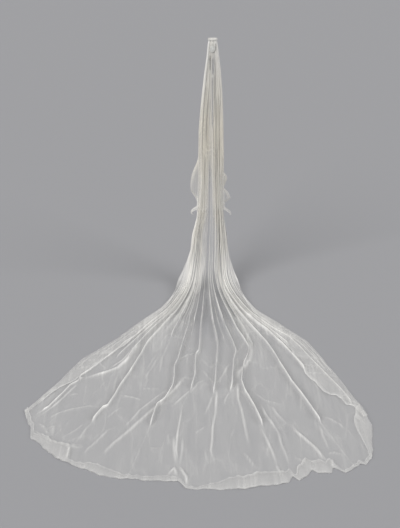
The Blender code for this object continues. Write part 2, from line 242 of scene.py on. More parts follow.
def ringRadius(ring, angle):
    # from the middle of a ring to the roots of its pleats
    wide, deep = ring["halfWidth"] - ring["pleatDepth"], ring["halfDepth"] - ring["pleatDepth"]
    return 1.0 / np.hypot(np.sin(angle) / wide, np.cos(angle) / deep)


def smooth(x):
    x = np.clip(x, 0.0, 1.0)
    return x * x * (3.0 - 2.0 * x)


def bell(x):
    return np.exp(-x ** 2)


def spans(places):
    # lengths of cloth across each column and along each row, as wide as the grid
    across = np.linalg.norm(np.gradient(places, axis=1), axis=2)
    along = np.linalg.norm(np.gradient(places, axis=0), axis=2)
    return across, along


def smoothAcross(values, width=9):
    kernel = np.ones(width) / width
    padded = np.pad(values, ((0, 0), (width // 2, width // 2)), mode="edge")
    return np.apply_along_axis(lambda row: np.convolve(row, kernel, mode="valid"), 1, padded)


def streaks(rows, columns, down, across, seed):
    # smooth random field from 0 to 1, drawn out along the cloth
    local = np.random.default_rng(seed)
    knots = local.uniform(0.0, 1.0, (int(rows / down) + 3, int(columns / across) + 3))
    r, c = np.arange(rows) / down, np.arange(columns) / across
    i, j = r.astype(int), c.astype(int)
    a, b = smooth(r - i)[:, None], smooth(c - j)[None, :]
    upper = knots[i][:, j] * (1.0 - b) + knots[i][:, j + 1] * b
    lower = knots[i + 1][:, j] * (1.0 - b) + knots[i + 1][:, j + 1] * b
    return upper * (1.0 - a) + lower * a


# Long layer

evenRadii = [0.45, 0.75, 1.05, 1.35, 1.65, 1.95]
longLayer = {
    "fallEnd": 1.14, "fallPower": 1.25, "sweepReach": 0.60,
    "dropPower": 2.2, "reachPower": 4.0, "turnPower": 1.45, "wavePower": 1.5, "ridgeGrowth": 3.0,
    "fallRows": 36, "sweepRows": 38, "trainRows": 136, "hemRows": 5,
    "ridgeHalf": 0.0050, "ridgeFade": 0.035, "ridgeLeft": 0.08, "ridgeLean": 0.005,
    "sweepGather": 0.004, "gatherSpace": 0.055, "flatRadius": 1.6,
    "swell": 0.005,                  # the train isn't pressed flat
    "turnLift": 0.017, "turnHung": 0.12, "turnStart": 0.50,
    "flatRows": (50, 90),            # rows of the train where the cloth is ungathered
    "bunched": (7.6, 15.4),          # folds beyond these stay bunched for longer
    "bunchedMore": 1.5, "warmth": 0.9,
    # each fold: height, reach, brightness, then radii and its bearings in degrees there
    "folds": [
        (0.0, 0.0, 0.0, evenRadii, [-37.0, -34.8, -32.9, -33.2, -30.6, -29.5]),
        (0.009, 1.45, 0.35, evenRadii, [-35.2, -33.3, -31.9, -32.0, -29.9, -28.9]),
        (0.01, 1.3, 0.4, evenRadii, [-33.2, -31.6, -30.8, -30.2, -29.1, -28.2]),
        (0.011, 1.93, 0.75, [0.45, 0.75, 0.97, 1.07, 1.16, 1.35, 1.52, 1.58, 1.63, 1.7, 1.88, 1.95], [-31.4, -30.0,
         -28.3, -28.9, -28.2, -28.0, -28.3, -27.4, -27.9, -27.5, -26.8, -27.4]),
        (0.01, 1.25, 0.45, evenRadii, [-29.4, -28.2, -26.8, -25.6, -25.0, -24.4]),
        (0.02, 1.25, 0.75, [0.45, 0.75, 0.86, 1.01, 1.12, 1.25, 1.36, 1.65, 1.95], [-27.4, -26.2, -25.6, -24.7,
         -24.2, -22.9, -22.9, -22.6, -22.0]),
        (0.018, 1.92, 0.85, [0.45, 0.82, 1.01, 1.16, 1.28, 1.4, 1.54, 1.64, 1.76, 1.78, 1.91], [-24.6, -22.5, -22.0,
         -20.6, -19.9, -19.3, -18.9, -18.4, -18.1, -18.6, -18.6]),
        (0.018, 0.9, 0.6, [0.45, 0.67, 0.81, 0.9, 1.02, 1.19, 1.95], [-21.8, -18.1, -17.2, -16.1, -15.6, -14.6,
         -14.0]),
        (0.024, 1.88, 1.0, [0.45, 0.71, 0.95, 1.17, 1.25, 1.36, 1.47, 1.56, 1.63, 1.68, 1.75, 1.87], [-16.3, -12.0,
         -10.9, -10.0, -10.2, -9.3, -8.8, -9.1, -9.4, -10.3, -10.2, -10.0]),
        (0.014, 0.66, 0.55, [0.45, 0.65, 1.05, 1.35, 1.95], [-12.6, -10.1, -7.8, -7.0, -7.2]),
        (0.021, 1.5, 0.75, [0.45, 0.57, 0.94, 1.06, 1.09, 1.2, 1.34, 1.48, 1.57, 1.68, 1.95], [-9.6, -6.8, -4.9,
         -4.6, -5.3, -5.0, -4.5, -4.8, -5.5, -5.9, -5.1]),
        (0.021, 1.53, 0.7, [0.45, 0.56, 0.81, 0.98, 1.1, 1.26, 1.41, 1.52, 1.95], [-1.0, -0.6, 1.1, 1.4, 0.9, 0.4,
         0.1, -0.3, -0.8]),
        (0.021, 1.5, 0.7, [0.45, 0.7, 0.89, 1.05, 1.17, 1.33, 1.45, 1.5, 1.59, 1.95], [5.2, 5.7, 6.7, 6.9, 5.3, 4.2,
         3.6, 3.0, 2.4, 2.2]),
        (0.026, 1.87, 1.0, [0.45, 0.78, 0.91, 1.04, 1.12, 1.21, 1.33, 1.42, 1.52, 1.6, 1.69, 1.86], [10.5, 10.2,
         10.9, 11.0, 9.7, 7.8, 6.4, 5.7, 5.8, 6.2, 6.6, 7.0]),
        (0.018, 1.02, 0.3, [0.45, 0.75, 1.05, 1.15, 1.35, 1.65, 1.95], [14.2, 13.4, 12.7, 11.6, 9.2, 9.2, 9.8]),
        (0.023, 1.9, 0.9, [0.45, 0.63, 0.85, 1.0, 1.14, 1.25, 1.47, 1.61, 1.88], [17.5, 17.2, 17.6, 17.7, 17.3,
         16.7, 16.1, 16.1, 15.8]),
        (0.02, 1.37, 0.85, [0.45, 0.58, 0.73, 0.83, 0.97, 1.04, 1.14, 1.25, 1.35, 1.65, 1.95], [20.2, 20.7, 21.2,
         22.1, 21.9, 22.1, 21.8, 21.5, 21.2, 19.8, 18.7]),
        (0.012, 1.05, 0.4, evenRadii, [22.2, 23.6, 24.3, 22.8, 21.7, 20.4]),
        (0.014, 1.78, 0.6, [0.45, 0.81, 0.97, 1.12, 1.22, 1.32, 1.54, 1.65, 1.78, 1.95], [23.7, 25.4, 27.0, 26.2,
         25.4, 24.9, 24.1, 23.8, 23.1, 21.5]),
        (0.01, 1.4, 0.4, evenRadii, [25.2, 26.7, 28.0, 25.7, 24.2, 21.9]),
        (0.009, 1.3, 0.35, evenRadii, [26.7, 28.2, 29.0, 26.3, 24.5, 22.3]),
        (0.008, 1.45, 0.35, evenRadii, [28.2, 29.6, 29.9, 26.9, 24.8, 22.7]),
        (0.0, 0.0, 0.0, evenRadii, [29.6, 31.0, 30.9, 27.5, 25.1, 23.1]),
    ],
    "hemBearing": [-29.5, -28.6, -27.6, -26.0, -24.6, -23.6, -20.0, -16.4, -12.0, -8.0, -4.4, -3.5, -2.6, 3.0, 7.0, 7.7, 8.4,
         8.9, 9.9, 10.9, 11.3, 12.0, 12.9, 13.4, 13.8, 14.35, 15.7, 16.7, 17.2, 18.4, 19.2, 19.5, 19.9, 21.1, 22.6,
         23.1],
    "hemReach": [1.96, 2.0, 2.02, 2.07, 2.15, 2.17, 2.245, 2.3, 2.338, 2.342, 2.323, 2.38, 2.388, 2.38, 2.364, 2.35, 2.302,
         2.338, 2.322, 2.272, 2.3, 2.314, 2.32, 2.276, 2.29, 2.33, 2.304, 2.275, 2.296, 2.266, 2.214, 2.205, 2.165,
         2.09, 1.99, 1.91],
    # side edges turned in over the train: how far, by radius
    "turnRadius": [0.2, 0.6, 0.87, 1.04, 1.28, 1.41, 1.5, 1.58, 1.635, 1.655, 1.7, 1.765, 1.79, 1.86, 2.1],
    "turnLeft": [0.012, 0.035, 0.085, 0.095, 0.115, 0.12, 0.104, 0.086, 0.06, 0.048, 0.04, 0.036, 0.034, 0.028, 0.022],
    "turnRight": [0.012, 0.04, 0.12, 0.14, 0.16, 0.164, 0.153, 0.146, 0.13, 0.092, 0.08, 0.074, 0.038, 0.028, 0.024],
    # columns of that turn, as shares of its width, and how bright each is
    "turnSteps": [0.02, 0.06, 0.14, 0.26, 0.40, 0.56, 0.72, 0.86, 0.96, 1.0],
    "turnMarks": [0.22, 0.10, 0.0, 0.0, 0.0, 0.0, 0.0, 0.0, 0.25, 0.45],
    # the hem turned up over the train: how far, by bearing
    "turnUpBearing": [-29.5, -27.2, -25.1, -23.6, -22.0, -20.7, -19.0, -18.4, -17.9, -17.5, -16.4, -14.7, -13.3, -11.9, -10.5,
         -9.5, -7.1, -5.7, -4.6, -3.4, -1.9, -0.6, 0.2, 1.4, 2.6, 4.0, 5.4, 6.6, 7.5, 8.3, 8.6, 9.3, 10.3, 11.2,
         12.3, 12.7, 13.3, 13.9, 14.3, 16.0, 18.5, 19.1, 19.8, 21.2, 22.3, 23.1],
    "turnUpWidth": [0.03, 0.03, 0.032, 0.055, 0.075, 0.1, 0.122, 0.07, 0.02, 0.018, 0.033, 0.06, 0.064, 0.054, 0.034, 0.024,
         0.034, 0.042, 0.03, 0.016, 0.018, 0.045, 0.06, 0.088, 0.1, 0.105, 0.104, 0.096, 0.096, 0.07, 0.02, 0.095,
         0.104, 0.092, 0.118, 0.1, 0.078, 0.05, 0.016, 0.018, 0.028, 0.07, 0.15, 0.18, 0.17, 0.15],
}

# Creases in the train: strength, half width and height, then x and y along each in millimetres
creases = [
    (0.55, 0.02, 0.011, [(-421, -915), (-457, -1019), (-486, -1151), (-531, -1247), (-592, -1301), (-654, -1340),
     (-714, -1377)]),
    (0.4, 0.01, 0.006, [(-462, -1002), (-508, -1151), (-594, -1278)]),
    (0.35, 0.01, 0.004, [(-717, -1385), (-735, -1444), (-762, -1509), (-788, -1579), (-809, -1628), (-841, -1695),
     (-885, -1761)]),
    (0.55, 0.014, 0.006, [(-707, -1347), (-728, -1385), (-735, -1414)]),
    (0.3, 0.01, 0.004, [(-711, -1530), (-758, -1544)]),
    (0.38, 0.016, 0.006, [(-155, -1324), (-190, -1429), (-249, -1558), (-313, -1682), (-375, -1800), (-433, -1912),
     (-490, -2009), (-543, -2124)]),
    (0.28, 0.01, 0.004, [(-252, -1473), (-318, -1586), (-381, -1695), (-421, -1800), (-462, -1875)]),
    (0.3, 0.01, 0.004, [(-118, -1473), (-173, -1572), (-226, -1668)]),
    (0.18, 0.009, 0.003, [(-255, -898), (-293, -1135), (-300, -1324)]),
    (0.18, 0.009, 0.003, [(-332, -1086), (-369, -1263)]),
    (0.16, 0.009, 0.003, [(-303, -1069), (-347, -1247), (-383, -1400)]),
    (0.16, 0.009, 0.003, [(-407, -1480), (-337, -1476), (-266, -1480)]),
    (0.32, 0.009, 0.004, [(-501, -1544), (-436, -1565), (-371, -1614)]),
    (0.22, 0.009, 0.003, [(-521, -1278), (-532, -1414), (-534, -1558)]),
    (0.26, 0.01, 0.004, [(-565, -1675), (-642, -1655), (-721, -1682), (-783, -1722), (-852, -1800)]),
    (0.18, 0.009, 0.003, [(-472, -1655), (-514, -1722), (-548, -1787)]),
    (0.3, 0.01, 0.005, [(-477, -1850), (-526, -1888), (-553, -1949), (-579, -2009), (-611, -2067), (-635, -2135)]),
    (0.2, 0.01, 0.003, [(-612, -1812), (-642, -1900), (-663, -1997)]),
    (0.2, 0.01, 0.003, [(-639, -1806), (-683, -1888), (-745, -1961)]),
    (0.24, 0.01, 0.004, [(-778, -1997), (-692, -2026), (-614, -2038)]),
    (0.65, 0.008, 0.007, [(-696, -2020), (-696, -2090), (-697, -2157)]),
    (0.48, 0.008, 0.005, [(-171, -1668), (-179, -1800), (-189, -1925), (-193, -2067), (-181, -2180)]),
    (0.32, 0.009, 0.005, [(-206, -1925), (-202, -2067), (-190, -2201)]),
    (0.26, 0.009, 0.005, [(-163, -1937), (-164, -2067), (-174, -2212)]),
    (0.16, 0.009, 0.003, [(-239, -1900), (-225, -2032)]),
    (0.4, 0.009, 0.006, [(-227, -2277), (-198, -2223), (-182, -2287)]),
    (0.45, 0.009, 0.006, [(-181, -2190), (-143, -2287), (-136, -2370)]),
    (0.12, 0.009, 0.003, [(-323, -2044), (-253, -2061)]),
    (0.24, 0.01, 0.004, [(-202, -1151), (-151, -1086), (-98, -1052)]),
    (0.2, 0.01, 0.003, [(-697, -1135), (-631, -1200), (-588, -1263)]),
    (0.16, 0.01, 0.003, [(-764, -1263), (-703, -1215)]),
    (0.22, 0.009, 0.003, [(-885, -1888), (-841, -1961), (-788, -2020)]),
    (0.28, 0.01, 0.004, [(-8, -1516), (-28, -1628), (-60, -1761)]),
    (0.46, 0.01, 0.006, [(12, -1473), (3, -1600), (-3, -1735), (-18, -1863), (-22, -1985), (-29, -2067), (-24,
     -2124), (-12, -2168)]),
    (0.4, 0.009, 0.005, [(36, -543), (55, -592), (72, -640)]),
    (0.42, 0.02, 0.007, [(131, -523), (180, -735), (205, -898), (209, -1036), (197, -1135), (175, -1215), (135,
     -1294), (114, -1385)]),
    (0.26, 0.009, 0.004, [(78, -1495), (51, -1586), (40, -1655)]),
    (0.34, 0.01, 0.005, [(207, -1825), (223, -1900), (240, -1985), (261, -2101), (274, -2212)]),
    (0.24, 0.01, 0.004, [(508, -1825), (511, -1937), (521, -2020), (528, -2090)]),
    (0.4, 0.01, 0.005, [(121, -1385), (117, -1586), (130, -1695), (138, -1825), (146, -1949), (154, -2044)]),
    (0.2, 0.009, 0.003, [(200, -1516), (254, -1600), (334, -1639)]),
    (0.34, 0.01, 0.005, [(226, -1614), (246, -1735), (279, -1838), (299, -1925), (305, -2009), (321, -2124), (324,
     -2201)]),
    (0.26, 0.01, 0.004, [(279, -1641), (306, -1735), (352, -1838)]),
    (0.52, 0.012, 0.008, [(370, -1812), (385, -1900), (418, -1961), (461, -2044), (489, -2124), (525, -2190)]),
    (0.16, 0.009, 0.003, [(447, -1530), (425, -1722)]),
    (0.14, 0.009, 0.003, [(391, -1324), (376, -1530)]),
    (0.24, 0.01, 0.004, [(523, -1748), (569, -1787), (608, -1838), (633, -1900)]),
    (0.24, 0.01, 0.004, [(505, -2101), (550, -2090), (590, -2113)]),
    (0.22, 0.01, 0.004, [(341, -2113), (387, -2152), (442, -2157), (493, -2146)]),
    (0.26, 0.01, 0.004, [(118, -2067), (141, -2135), (179, -2234)]),
    (0.14, 0.009, 0.003, [(240, -2032), (231, -2135)]),
    (0.16, 0.009, 0.003, [(-58, -2055), (-46, -2168)]),
    (0.18, 0.01, 0.003, [(-109, -1925), (-44, -1844)]),
    (0.22, 0.009, 0.003, [(-72, -1247), (-40, -1340), (-5, -1429)]),
    (0.22, 0.01, 0.004, [(-132, -1530), (-90, -1414), (-47, -1377)]),
    (0.26, 0.01, 0.004, [(2, -1444), (39, -1340), (96, -1135)]),
    (0.2, 0.009, 0.003, [(16, -1444), (59, -1263)]),
    (0.55, 0.008, 0.006, [(532, -2135), (523, -2212)]),
    (0.3, 0.01, 0.005, [(290, -2287), (274, -2223), (268, -2180)]),
    (0.3, 0.01, 0.005, [(308, -735), (315, -808), (333, -844)]),
    (0.26, 0.009, 0.005, [(-890, -1812), (-843, -1863), (-808, -1949)]),
    (0.28, 0.009, 0.005, [(-852, -1931), (-793, -1985), (-745, -2009), (-698, -2026)]),
    (0.22, 0.009, 0.004, [(-891, -1888), (-853, -1925), (-833, -1997)]),
    (0.2, 0.009, 0.004, [(-828, -1875), (-799, -1850), (-791, -1949)]),
    (0.22, 0.009, 0.004, [(-724, -2020), (-664, -2050), (-614, -2041)]),
]

# Narrow gaps between folds near the top, thinner in cover and darkened with painted shade: x, drops it runs between,
# half width and depth
topGaps = [
    (-0.018, 0.095, 0.200, 0.0042, 0.90), (0.000, 0.110, 0.225, 0.0055, 0.95),
    (-0.003, 0.225, 0.550, 0.0034, 0.75), (0.016, 0.020, 0.085, 0.0036, 0.80),
]
# the opening that widens down the middle, by drop: its middle and half width
middleGap = {
    "drop": [0.8, 0.88, 1.07, 1.3, 1.45, 1.55, 1.6],
    "x": [-0.01, -0.01, -0.012, -0.015, -0.018, -0.02, -0.02],
    "half": [0.001, 0.005, 0.0145, 0.021, 0.031, 0.06, 0.112],
    "from": 0.80, "deep": 0.9, "edge": 0.55,
}
# Lines between the gathered strands, thinner in cover and darkened with painted shade: number, and the ranges that each
# is drawn from
strandLines = {
    "count": 46, "across": (-0.95, 0.95), "width": (0.012, 0.034), "strength": (0.35, 1.0),
    "start": (-0.2, 1.2), "length": (0.25, 0.9), "slant": (-0.05, 0.05), "sway": (0.0, 6.0),
}
# Small slanting creases in the fall: x and drop of the middle, width, length, slope and spacing
crinkled = [(-0.068, 0.50, 0.026, 0.13, 1.8, 0.024), (-0.020, 0.69, 0.045, 0.05, -0.3, 0.034)]

foldRadii = np.linspace(0.30, 2.50, 111)
foldBearings = np.radians(np.array([np.interp(foldRadii, fold[3], fold[4]) for fold in longLayer["folds"]]))
for k in range(1, len(foldBearings)):   # folds never cross
    foldBearings[k] = np.maximum(foldBearings[k], foldBearings[k - 1] + 0.003)


def bearingOf(fold, share, radius):
    # bearing in radians between two folds, at a distance from the axis
    at = np.clip((radius - foldRadii[0]) / (foldRadii[1] - foldRadii[0]), 0.0, len(foldRadii) - 1.001)
    i = at.astype(int)
    part = at - i
    low = np.minimum(fold, len(foldBearings) - 2)
    first = foldBearings[low, i] * (1.0 - part) + foldBearings[low, i + 1] * part
    second = foldBearings[low + 1, i] * (1.0 - part) + foldBearings[low + 1, i + 1] * part
    return first * (1.0 - share) + second * share


def gapsAt(places):
    # how open the front is: 0 closed, 1 open
    x, y, drop = places[..., 0], places[..., 1], -places[..., 2]
    half, middle = (np.interp(drop, middleGap["drop"], middleGap[key]) for key in ("half", "x"))
    core = middleGap["edge"] * half
    opened = 1.0 - smooth((np.abs(x - middle) - core) / (core + 0.002))
    opened = opened * (drop > middleGap["from"]) * (1.0 - smooth((-y - 0.55) / 0.75)) * middleGap["deep"]
    for x0, low, high, width, depth in topGaps:
        ends = smooth((drop - low) / 0.02) * smooth((high - drop) / 0.03)
        opened = np.maximum(opened, depth * bell((x - x0) / width) * ends)
    return opened


def strands(places):
    # how deep each place lies between the gathered strands, 0 to 1, in lines that run down the fall; it thins the cover
    # and darkens the base colour with painted shade
    drop = np.clip(-places[..., 2], 0.0, -floorLevel)
    halfWidth = np.interp(drop, outline["drop"], outline["halfWidth"])
    middle = np.interp(drop, outline["drop"], outline["shift"])
    across = np.clip((places[..., 0] - middle) / halfWidth, -1.3, 1.3)
    local = np.random.default_rng(71)
    depth = np.zeros(drop.shape)
    order = ("across", "width", "strength", "start", "length", "slant", "sway")
    for k in range(strandLines["count"]):
        at, width, strength, low, long, slant, sway = (local.uniform(*strandLines[key]) for key in order)
        line = at + slant * (drop - low) + 0.012 * np.sin(drop * 7.0 + sway)
        ends = smooth((drop - low) / 0.10) * smooth((low + long - drop) / 0.18)
        depth = np.maximum(depth, strength * ends * bell((across - line) / width))
    return depth * smooth((0.02 - floorLevel - drop) / 0.15)


def shadeOf(places, deep, opened):
    # painted shade: the deep lines and the gaps near the top are darkened in the base colour, where they lie in shade
    return np.maximum(0.85 * deep, 0.9 * opened * (places[..., 2] > -0.60))


def crinkles(places):
    # creases where the layers rub on the left of the fall, and a few at its middle
    x, y, drop = places[..., 0], places[..., 1], -places[..., 2]
    total = np.zeros(x.shape)
    for x0, drop0, wide, long, slope, period in crinkled:
        near = np.exp(-((x - x0) / wide) ** 2 - ((drop - drop0) / long) ** 2)
        phase = 2.0 * math.pi * (drop + slope * x) / period + 1.5 * np.sin(x * 120.0 + drop * 31.0)
        total = np.maximum(total, near * np.clip(np.sin(phase), 0.0, 1.0) ** 5)
    return total * (y < 0.0)


def longColumns():
    # fold to the left, share of the way to the next, and number of small gathers between them
    nearest = int(np.argmin(np.abs(foldRadii - longLayer["flatRadius"])))
    widths = (foldBearings[1:, nearest] - foldBearings[:-1, nearest]) * longLayer["flatRadius"]
    fold, share, gathers = [], [], []
    for k, width in enumerate(widths):
        small = int(round(width / longLayer["gatherSpace"]))
        count = 7 * (small + 1) + 4
        x = np.arange(count) / count
        fold += [k] * count
        share += list(x ** 1.3 / (x ** 1.3 + (1.0 - x) ** 1.3))   # closer together at the folds
        gathers += [small] * count
    fold.append(len(widths) - 1)
    share.append(1.0)
    gathers.append(gathers[-1])
    return np.array(fold), np.array(share), np.array(gathers)


def gatherProfile(fold, share, gathers):
    # height of the gathers across the cloth, 1 on the main crests
    local = np.random.default_rng(11)
    pleats = len(longLayer["folds"]) - 2
    heights = {}
    profile = np.zeros(len(fold))
    for i, (k, n) in enumerate(zip(fold, gathers)):
        if k not in heights:
            outer = {0: 0.0, pleats + 1: 0.0, 1: 0.6, 2: 0.6, pleats - 1: 0.6, pleats: 0.6}
            first, last = (outer.get(end, 1.0) for end in (k, k + 1))
            heights[k] = [first, *local.uniform(0.5, 0.95, n), last]
        at = share[i] * (n + 1)
        low = min(int(at), n)
        part = at - low
        top = heights[k][low] * (1.0 - smooth(part)) + heights[k][low + 1] * smooth(part)
        profile[i] = top * (0.5 + 0.5 * math.cos(2.0 * math.pi * part))
    return profile


def hemAt(bearings):
    # reach of the hem, a little uneven
    hem = np.interp(bearings, longLayer["hemBearing"], longLayer["hemReach"])
    for size, rate, phase in ((0.004, 0.9, 0.0), (0.003, 2.3, 1.0), (0.002, 5.1, 0.0)):
        hem = hem + size * np.sin(bearings * rate + phase)
    return hem


def longGrid():
    fold, share, gathers = longColumns()
    data = longLayer
    height, reach, bright = (np.array([row[k] for row in data["folds"]]) for k in range(3))
    pleats = len(height) - 2
    q = fold + share
    crests = [(2 * k - 1) / pleats - 1 for k in range(1, pleats + 1)]
    ringShare = np.interp(q, np.arange(pleats + 2.0), [-1.0, *crests, 1.0])
    profile = gatherProfile(fold, share, gathers)
    nearest = np.rint(q).astype(int)
    total = data["fallRows"] + data["sweepRows"] + data["trainRows"]
    count = len(fold)
    base = np.zeros((total + 1, count, 3))
    wave, line, lean = (np.zeros((total + 1, count)) for k in range(3))
    hem = hemAt(np.degrees(bearingOf(fold, share, np.full(count, evenRadii[-1]))))
    sweepRadius = np.full(count, data["sweepReach"])
    sweepBearings = bearingOf(fold, share, sweepRadius)
    foldLean = rng.uniform(-1.0, 1.0, pleats + 2)
    streak = (0.10 + 0.75 * streaks(total + 1, count, 30.0, 2.5, 31) ** 2) * profile ** 4

    def ridges(radius):
        # the folds on the floor: their height, how bright they are and how near each column is
        own = bearingOf(np.minimum(nearest, pleats), (nearest > pleats) * 1.0, radius)
        away = np.abs(own - bearingOf(fold, share, radius)) * radius
        fade = smooth((reach[nearest] - radius) / data["ridgeFade"])
        grown = np.clip(radius / np.maximum(reach[nearest], 0.3), 0.0, 1.0)
        width = data["ridgeHalf"] * (0.68 + 0.55 * grown ** 2.5)
        body = np.exp(-1.4 * (away / width) ** 2)
        rise = height[nearest] * (data["ridgeLeft"] + (1.0 - data["ridgeLeft"]) * fade) * body
        shine = bright[nearest] * (0.5 + 0.5 * grown ** 1.5) * (0.08 + 0.92 * fade)
        return rise, shine * bell(away / (width * 0.55)), body

    for row in range(total + 1):
        if row <= data["fallRows"]:
            drop = firstDrop + (data["fallEnd"] - firstDrop) * (row / data["fallRows"]) ** data["fallPower"]
            ring = ringAt(drop)
            base[row] = ringPoints(drop, ringShare, ring["shortRoom"] + ring["pleatDepth"], -drop)
            wave[row] = ring["pleatDepth"] * profile
            line[row] = streak[row]
        elif row <= data["fallRows"] + data["sweepRows"]:
            t = (row - data["fallRows"]) / data["sweepRows"]
            level = clothLevel + (-data["fallEnd"] - clothLevel) * (1.0 - t) ** data["dropPower"]
            ring = ringAt(-level)
            start = ringPoints(-level, ringShare, ring["shortRoom"] + ring["pleatDepth"], level)
            turned = 1.0 - (1.0 - t) ** data["turnPower"]
            grown = t ** data["reachPower"]
            hung = np.arctan2(start[:, 0] - ring["shift"], -start[:, 1])
            angle = hung * (1.0 - turned) + sweepBearings * turned
            radius = np.hypot(start[:, 0] - ring["shift"], start[:, 1])
            radius = radius * ringRadius(ring, angle) / ringRadius(ring, hung)
            radius = radius * (1.0 - grown) + data["sweepReach"] * grown
            base[row] = around(ring["shift"] * (1.0 - grown), radius, radius, angle, level)
            rise, mark, body = ridges(sweepRadius)
            left = (1.0 - turned) ** data["wavePower"]
            wave[row] = ring["pleatDepth"] * profile * left + rise * turned ** data["ridgeGrowth"]
            wave[row] += data["sweepGather"] * profile * turned * (1.0 - left)
            line[row] = np.maximum(streak[row] * (1.0 - 0.7 * turned), mark * turned ** 0.7)
        else:
            t = (row - data["fallRows"] - data["sweepRows"]) / data["trainRows"]
            radius = data["sweepReach"] + (hem - data["sweepReach"]) * t
            base[row] = around(0.0, radius, radius, bearingOf(fold, share, radius), clothLevel)
            rise, mark, body = ridges(radius)
            early = np.exp(-(radius - data["sweepReach"]) / 0.30)
            wave[row] = rise + data["sweepGather"] * profile * early
            line[row] = np.maximum(mark, streak[row] * 0.3 * early)
            lean[row] = foldLean[nearest] * data["ridgeLean"] * body * (rise > 0.002)
    return q, base, wave, line, lean


def addCreases(base, wave, line, firstRow):
    # the creases, by distance on the floor from each run of points
    spot = base[firstRow:, :, :2]
    rise, mark = np.zeros(spot.shape[:2]), np.zeros(spot.shape[:2])
    for strength, half, height, points in creases:
        ends = np.array(points) / 1000.0
        lengths = np.concatenate([[0.0], np.cumsum(np.linalg.norm(np.diff(ends, axis=0), axis=1))])
        best, along = np.full(spot.shape[:2], np.inf), np.zeros(spot.shape[:2])
        for k in range(len(ends) - 1):
            step = ends[k + 1] - ends[k]
            size = float(step @ step)
            part = np.clip(((spot - ends[k]) @ step) / size, 0.0, 1.0)
            away = np.linalg.norm(spot - ends[k] - part[..., None] * step, axis=2)
            along = np.where(away < best, lengths[k] + part * math.sqrt(size), along)
            best = np.minimum(best, away)
        ramp = min(0.12, lengths[-1] / 3.0)
        fade = 0.05 + 0.95 * smooth(along / ramp) * smooth((lengths[-1] - along) / ramp)
        rise = np.maximum(rise, height * bell(best / half) * fade)
        mark = np.maximum(mark, strength * bell(best / (half * 0.62)) * fade)
    wave[firstRow:] = np.maximum(wave[firstRow:], rise)
    line[firstRow:] = np.maximum(line[firstRow:], mark)


def sideTurn(base, out, outward, swept, side, key):
    # one side edge, hanging free in the fall and turned in over the train
    data = longLayer
    radius = np.hypot(base[:, 0], base[:, 1])
    hung = np.array([ringAt(-z)["halfWidth"] for z in base[:, 2]]) * data["turnHung"]
    uneven = 1.0 + 0.02 * np.sin(radius * 37.0) + 0.012 * np.sin(radius * 83.0 + side)
    laid = np.interp(radius, data["turnRadius"], data[key]) * uneven
    width = hung * (1.0 - swept) + laid * swept
    turn = math.pi * swept
    along = outward * np.cos(turn)[:, None] + out * np.sin(turn)[:, None]
    flatter = 1.0 - 0.6 * smooth((radius - 1.70) / 0.20)
    strip, marks = [], []
    for s, edge in zip(data["turnSteps"], data["turnMarks"]):
        lift = np.minimum(data["turnLift"], 0.010 + 0.10 * laid) * np.sqrt(swept) * flatter
        lift = lift * (1.0 - (1.0 - s) ** 5) * (1.0 - 0.45 * s * s)
        lift = lift + 0.0020 * np.sin(radius * 29.0 + s * 7.0 + 2.0 * np.sin(radius * 11.0)) * swept * s
        bulge = 0.004 * math.sin(math.pi * min(s * 6.0, 1.0)) * swept
        strip.append(base + along * (width * s)[:, None] + out * lift[:, None] + outward * bulge[:, None])
        ripple = np.sin(radius * 37.0 + 5.0 * s + 3.0 * np.sin(radius * 13.0 + 2.0 * s))
        marks.append(np.maximum(0.15 * np.clip(ripple, 0.0, 1.0) ** 8 * swept, edge))
    return np.stack(strip[::side], axis=1), np.stack(marks[::side], axis=1)


def hemTurn(places):
    # rows of the hem turned up over the train
    data = longLayer
    hemWay = places[-1] - places[-4]
    hemWay /= np.linalg.norm(hemWay, axis=1, keepdims=True)
    bearing = np.degrees(np.arctan2(places[-1, :, 0], -places[-1, :, 1]))
    uneven = 1.0 + 0.05 * np.sin(bearing * 1.3 + 0.5) + 0.02 * np.sin(bearing * 3.1)
    width = np.interp(bearing, data["turnUpBearing"], data["turnUpWidth"]) * uneven
    corner = len(data["turnSteps"])
    width[:corner] *= 0.3
    width[-corner:] *= 0.3
    strip = []
    for k in range(1, data["hemRows"] + 1):
        s = (k / data["hemRows"]) ** 1.4
        move = places[-1] - hemWay * (width * s)[:, None] + hemWay * (0.002 * math.sin(math.pi * min(3.0 * s, 1.0)))
        move[:, 2] += 0.004 + 0.003 * math.sin(math.pi * s) * (width / 0.05) + 0.002 * s * np.sin(bearing * 6.1)
        strip.append(move)
    return np.stack(strip)


